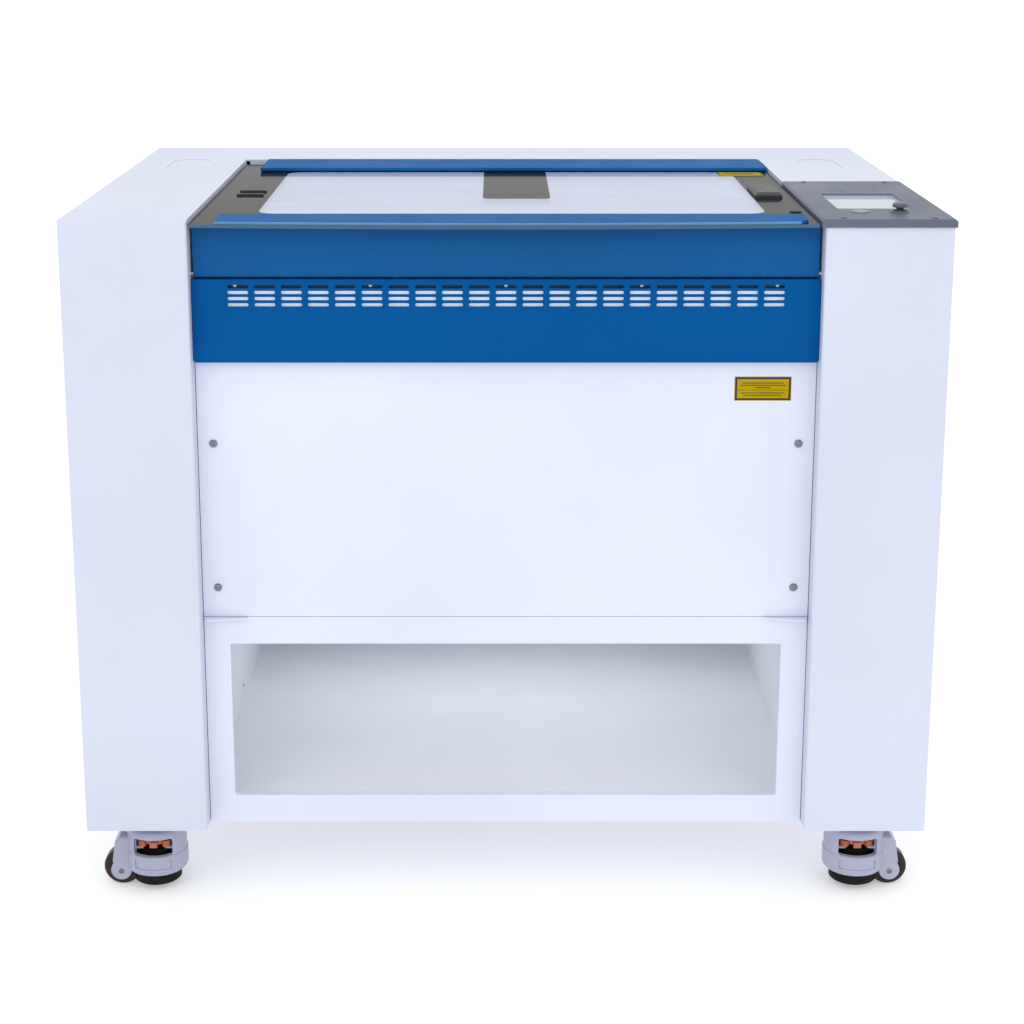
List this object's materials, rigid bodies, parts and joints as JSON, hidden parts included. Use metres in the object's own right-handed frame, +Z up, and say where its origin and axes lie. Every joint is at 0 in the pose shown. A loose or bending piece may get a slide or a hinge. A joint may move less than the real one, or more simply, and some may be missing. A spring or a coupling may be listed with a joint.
{
  "type": "laser cutter",
  "caption": "Floor-standing laser cutter with a glazed lift-up lid, drop-down front door, slotted blue panel, storage bay, side control panel and levelling casters.",
  "frame": {"origin": "on the floor, under the centre of the cabinet", "axes": "+X to the right seen from the front, +Y to the back, +Z up; the front faces -Y"},
  "size_m": [1.3223, 1, 1.1055],
  "materials": {
    "body_white": "fine-textured powder coat",
    "panel_white": "satin powder coat",
    "inner_white": "satin paint",
    "door_blue": "satin paint",
    "vent_blue": "satin paint",
    "bar_blue": "anodised blue",
    "gunmetal": "satin metallic",
    "printed_glass": "gloss black print under glass",
    "clear_glass": "clear",
    "screen": "gloss screen",
    "aluminium": "satin",
    "steel": "machined",
    "zinc": "zinc plated",
    "chrome": "polished rod",
    "black_metal": "satin black",
    "dark_rail": "satin dark blue",
    "black_plastic": "fine texture",
    "caster_grey": "satin paint",
    "dial_orange": "moulded",
    "wheel_brown": "moulded",
    "pad_black": "moulded"
  },
  "bodies": {
    "cabinet": {"base_pan": "body_white", "tower_casing_left": "body_white", "tower_casing_right": "body_white", "top_cover": "body_white", "rear_panel": "body_white", "access_panel": "panel_white", "lower_front_frame": "panel_white", "vent_panel": "vent_blue", "vent_backing": "inner_white", "vent_rail": "dark_rail", "storage_bay_liner": "inner_white", "chamber_tub": "inner_white", "control_panel": "gunmetal", "display": "screen", "case_fasteners": "zinc", "exhaust_port": "steel", "laser_tube": "aluminium", "electronics_tray": "zinc", "y_rails": "steel", "caster_top_plates": "caster_grey", "mains_inlet": "black_plastic", "lid_support_brackets": "steel"},
    "lid": {"lid_border": "printed_glass", "lid_window": "clear_glass", "lid_frame": "black_metal", "lid_front_bar": "bar_blue", "lid_rear_bar": "bar_blue", "lid_fittings": "black_plastic"},
    "lid_lock": {"lid_lock": "black_metal"},
    "front_door": {"front_door": "door_blue"},
    "strut_cylinder_left": {"strut_cylinder_left": "black_metal"},
    "strut_cylinder_right": {"strut_cylinder_right": "black_metal"},
    "strut_rod_left": {"strut_rod_left": "chrome"},
    "strut_rod_right": {"strut_rod_right": "chrome"},
    "gantry": {"gantry_beam": "aluminium"},
    "carriage": {"laser_carriage": "black_metal"},
    "drive_shaft": {"y_drive_shaft": "steel"},
    "table": {"engraving_table": "aluminium"},
    "leadscrew_left": {"leadscrew_left": "steel"},
    "leadscrew_right": {"leadscrew_right": "steel"},
    "joystick_gimbal": {"joystick_gimbal": "steel"},
    "joystick": {"joystick": "black_plastic"},
    "go_button": {"go_button": "black_plastic"},
    "power_switch": {"power_switch": "black_plastic"},
    "caster_front_left_swivel": {"caster_front_left_housing": "caster_grey"},
    "caster_front_left_wheel": {"caster_front_left_wheel": "wheel_brown"},
    "caster_front_left_dial": {"caster_front_left_dial": "dial_orange"},
    "caster_front_left_foot": {"caster_front_left_foot": "pad_black"},
    "caster_front_right_swivel": {"caster_front_right_housing": "caster_grey"},
    "caster_front_right_wheel": {"caster_front_right_wheel": "wheel_brown"},
    "caster_front_right_dial": {"caster_front_right_dial": "dial_orange"},
    "caster_front_right_foot": {"caster_front_right_foot": "pad_black"},
    "caster_rear_left_swivel": {"caster_rear_left_housing": "caster_grey"},
    "caster_rear_left_wheel": {"caster_rear_left_wheel": "wheel_brown"},
    "caster_rear_left_dial": {"caster_rear_left_dial": "dial_orange"},
    "caster_rear_left_foot": {"caster_rear_left_foot": "pad_black"},
    "caster_rear_right_swivel": {"caster_rear_right_housing": "caster_grey"},
    "caster_rear_right_wheel": {"caster_rear_right_wheel": "wheel_brown"},
    "caster_rear_right_dial": {"caster_rear_right_dial": "dial_orange"},
    "caster_rear_right_foot": {"caster_rear_right_foot": "pad_black"}
  },
  "joints": [
    {"name": "lid_hinge", "type": "hinge", "parent": "cabinet", "child": "lid", "pos_m": [0, 0.255, 1.086], "axis": [-1, 0, 0], "range_deg": [0, 70]},
    {"name": "lid_lock_turn", "type": "hinge", "parent": "lid", "child": "lid_lock", "pos_m": [0.438, -0.383, 1.084], "axis": [0, 0, 1], "range_deg": [0, 90]},
    {"name": "front_door_hinge", "type": "hinge", "parent": "cabinet", "child": "front_door", "pos_m": [0, -0.45, 1.0055], "axis": [1, 0, 0], "range_deg": [0, 90]},
    {"name": "strut_left_pivot", "type": "hinge", "parent": "cabinet", "child": "strut_cylinder_left", "pos_m": [-0.43, 0.15, 1.064], "axis": [-1, 0, 0], "range_deg": [0, 82.14]},
    {"name": "strut_left_extend", "type": "slide", "parent": "strut_cylinder_left", "child": "strut_rod_left", "axis": [0, -1, 0.0067], "range_m": [0, 0.09927]},
    {"name": "strut_right_pivot", "type": "hinge", "parent": "cabinet", "child": "strut_cylinder_right", "pos_m": [0.43, 0.15, 1.064], "axis": [-1, 0, 0], "range_deg": [0, 82.14]},
    {"name": "strut_right_extend", "type": "slide", "parent": "strut_cylinder_right", "child": "strut_rod_right", "axis": [0, -1, 0.0067], "range_m": [0, 0.09927]},
    {"name": "gantry_y", "type": "slide", "parent": "cabinet", "child": "gantry", "axis": [0, -1, 0], "range_m": [0, 0.61]},
    {"name": "carriage_x", "type": "slide", "parent": "gantry", "child": "carriage", "axis": [1, 0, 0], "range_m": [-0.05, 0.85]},
    {"name": "drive_shaft_turn", "type": "hinge", "parent": "gantry", "child": "drive_shaft", "pos_m": [0, 0.3, 1.016], "axis": [1, 0, 0], "range_deg": [0, 4995]},
    {"name": "table_z", "type": "slide", "parent": "cabinet", "child": "table", "axis": [0, 0, -1], "range_m": [0, 0.229]},
    {"name": "leadscrew_left_turn", "type": "hinge", "parent": "cabinet", "child": "leadscrew_left", "pos_m": [-0.495, -0.07, 0.8], "axis": [0, 0, 1], "range_deg": [0, 8245]},
    {"name": "leadscrew_right_turn", "type": "hinge", "parent": "cabinet", "child": "leadscrew_right", "pos_m": [0.495, -0.07, 0.8], "axis": [0, 0, 1], "range_deg": [0, 8245]},
    {"name": "joystick_fore_aft", "type": "hinge", "parent": "cabinet", "child": "joystick_gimbal", "pos_m": [0.5913, -0.406, 1.082], "axis": [1, 0, 0], "range_deg": [-15, 15], "stiffness_Nm_per_rad": 0.06},
    {"name": "joystick_sideways", "type": "hinge", "parent": "joystick_gimbal", "child": "joystick", "pos_m": [0.5913, -0.406, 1.082], "axis": [0, 1, 0], "range_deg": [-15, 15], "stiffness_Nm_per_rad": 0.06},
    {"name": "go_button_press", "type": "slide", "parent": "cabinet", "child": "go_button", "axis": [0, 0, -1], "range_m": [0, 0.002], "stiffness_N_per_m": 500, "springref_m": -0.001},
    {"name": "power_switch_rock", "type": "hinge", "parent": "cabinet", "child": "power_switch", "pos_m": [-0.565, 0.446, 0.246], "axis": [1, 0, 0], "range_deg": [-8, 8]},
    {"name": "caster_front_left_swivel_turn", "type": "hinge", "parent": "cabinet", "child": "caster_front_left_swivel", "pos_m": [-0.562, -0.41, 0.1], "axis": [0, 0, 1], "continuous": true},
    {"name": "caster_front_left_wheel_roll", "type": "hinge", "parent": "caster_front_left_swivel", "child": "caster_front_left_wheel", "pos_m": [-0.617, -0.41, 0.03], "axis": [0, 1, 0], "continuous": true},
    {"name": "caster_front_left_dial_turn", "type": "hinge", "parent": "caster_front_left_swivel", "child": "caster_front_left_dial", "pos_m": [-0.562, -0.41, 0.078], "axis": [0, 0, 1], "range_deg": [0, 1801]},
    {"name": "caster_front_left_foot_drop", "type": "slide", "parent": "caster_front_left_swivel", "child": "caster_front_left_foot", "axis": [0, 0, -1], "range_m": [0, 0.01]},
    {"name": "caster_front_right_swivel_turn", "type": "hinge", "parent": "cabinet", "child": "caster_front_right_swivel", "pos_m": [0.562, -0.41, 0.1], "axis": [0, 0, 1], "continuous": true},
    {"name": "caster_front_right_wheel_roll", "type": "hinge", "parent": "caster_front_right_swivel", "child": "caster_front_right_wheel", "pos_m": [0.617, -0.41, 0.03], "axis": [0, 1, 0], "continuous": true},
    {"name": "caster_front_right_dial_turn", "type": "hinge", "parent": "caster_front_right_swivel", "child": "caster_front_right_dial", "pos_m": [0.562, -0.41, 0.078], "axis": [0, 0, 1], "range_deg": [0, 1801]},
    {"name": "caster_front_right_foot_drop", "type": "slide", "parent": "caster_front_right_swivel", "child": "caster_front_right_foot", "axis": [0, 0, -1], "range_m": [0, 0.01]},
    {"name": "caster_rear_left_swivel_turn", "type": "hinge", "parent": "cabinet", "child": "caster_rear_left_swivel", "pos_m": [-0.562, 0.38, 0.1], "axis": [0, 0, 1], "continuous": true},
    {"name": "caster_rear_left_wheel_roll", "type": "hinge", "parent": "caster_rear_left_swivel", "child": "caster_rear_left_wheel", "pos_m": [-0.617, 0.38, 0.03], "axis": [0, 1, 0], "continuous": true},
    {"name": "caster_rear_left_dial_turn", "type": "hinge", "parent": "caster_rear_left_swivel", "child": "caster_rear_left_dial", "pos_m": [-0.562, 0.38, 0.078], "axis": [0, 0, 1], "range_deg": [0, 1801]},
    {"name": "caster_rear_left_foot_drop", "type": "slide", "parent": "caster_rear_left_swivel", "child": "caster_rear_left_foot", "axis": [0, 0, -1], "range_m": [0, 0.01]},
    {"name": "caster_rear_right_swivel_turn", "type": "hinge", "parent": "cabinet", "child": "caster_rear_right_swivel", "pos_m": [0.562, 0.38, 0.1], "axis": [0, 0, 1], "continuous": true},
    {"name": "caster_rear_right_wheel_roll", "type": "hinge", "parent": "caster_rear_right_swivel", "child": "caster_rear_right_wheel", "pos_m": [0.617, 0.38, 0.03], "axis": [0, 1, 0], "continuous": true},
    {"name": "caster_rear_right_dial_turn", "type": "hinge", "parent": "caster_rear_right_swivel", "child": "caster_rear_right_dial", "pos_m": [0.562, 0.38, 0.078], "axis": [0, 0, 1], "range_deg": [0, 1801]},
    {"name": "caster_rear_right_foot_drop", "type": "slide", "parent": "caster_rear_right_swivel", "child": "caster_rear_right_foot", "axis": [0, 0, -1], "range_m": [0, 0.01]}
  ],
  "couplings": [
    {"joint": "strut_left_pivot", "follows": "lid_hinge", "ratio": 1.1727},
    {"joint": "strut_left_extend", "follows": "lid_hinge", "m_per_rad": 0.081173},
    {"joint": "strut_right_pivot", "follows": "lid_hinge", "ratio": 1.1727},
    {"joint": "strut_right_extend", "follows": "lid_hinge", "m_per_rad": 0.081173},
    {"joint": "drive_shaft_turn", "follows": "gantry_y", "rad_per_m": 142.86},
    {"joint": "leadscrew_left_turn", "follows": "table_z", "rad_per_m": 628.32},
    {"joint": "leadscrew_right_turn", "follows": "table_z", "rad_per_m": 628.32},
    {"joint": "caster_front_left_dial_turn", "follows": "caster_front_left_foot_drop", "rad_per_m": 3141.6},
    {"joint": "caster_front_right_dial_turn", "follows": "caster_front_right_foot_drop", "rad_per_m": 3141.6},
    {"joint": "caster_rear_left_dial_turn", "follows": "caster_rear_left_foot_drop", "rad_per_m": 3141.6},
    {"joint": "caster_rear_right_dial_turn", "follows": "caster_rear_right_foot_drop", "rad_per_m": 3141.6}
  ]
}
